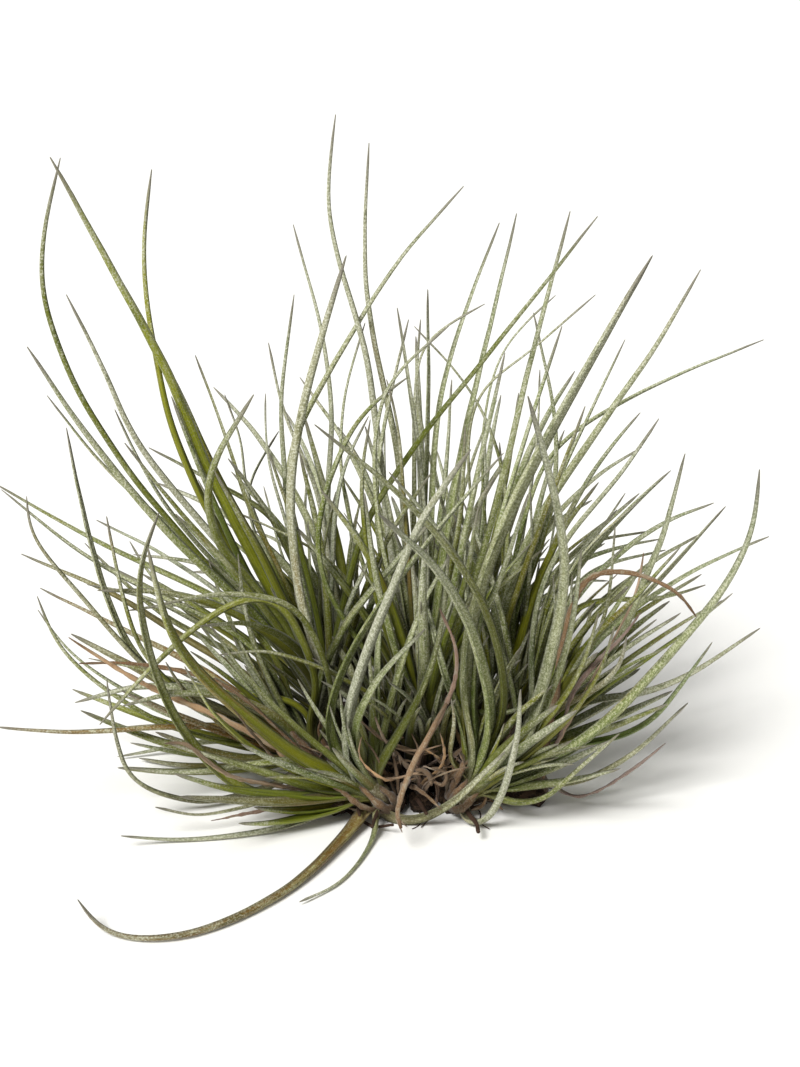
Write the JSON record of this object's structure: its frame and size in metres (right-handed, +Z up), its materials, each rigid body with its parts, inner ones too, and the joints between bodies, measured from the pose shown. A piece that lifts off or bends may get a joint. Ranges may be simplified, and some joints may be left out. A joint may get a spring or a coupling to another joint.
{
  "type": "air plant",
  "caption": "Clump of rosettes of long thin channelled grey-green leaves on a woody crown with wiry roots, resting on a surface.",
  "frame": {"origin": "middle of the flat underside of the woody crown, on the surface the plant rests on", "axes": "+Z up, +X to the right as seen from the front, -Y towards the viewer"},
  "size_m": [0.237, 0.2053, 0.195],
  "materials": {
    "leaf_silver": "soft, covered in fine silver scales",
    "leaf_green": "soft, slightly waxy",
    "leaf_pale": "soft, covered in fine silver scales",
    "dry_tan": "dry, papery",
    "dry_brown": "dry, papery",
    "dry_mauve": "dry, papery",
    "bark": "rough, matt"
  },
  "bodies": {
    "root": {"crown_with_roots": "bark", "rosette_left_tall": "leaf_green", "rosette_left_low": "leaf_silver", "rosette_front_left": "leaf_silver", "rosette_front_right": "leaf_silver", "rosette_right": "leaf_silver", "rosette_centre": "leaf_silver", "rosette_right_back": "leaf_silver", "rosette_back_centre": "leaf_silver", "rosette_back_left": "leaf_pale", "rosette_back_right": "leaf_silver", "dry_leaves_front": "dry_tan", "dry_leaves_left": "dry_brown", "dry_leaves_right": "dry_mauve", "dry_leaves_back": "dry_brown"}
  },
  "joints": []
}
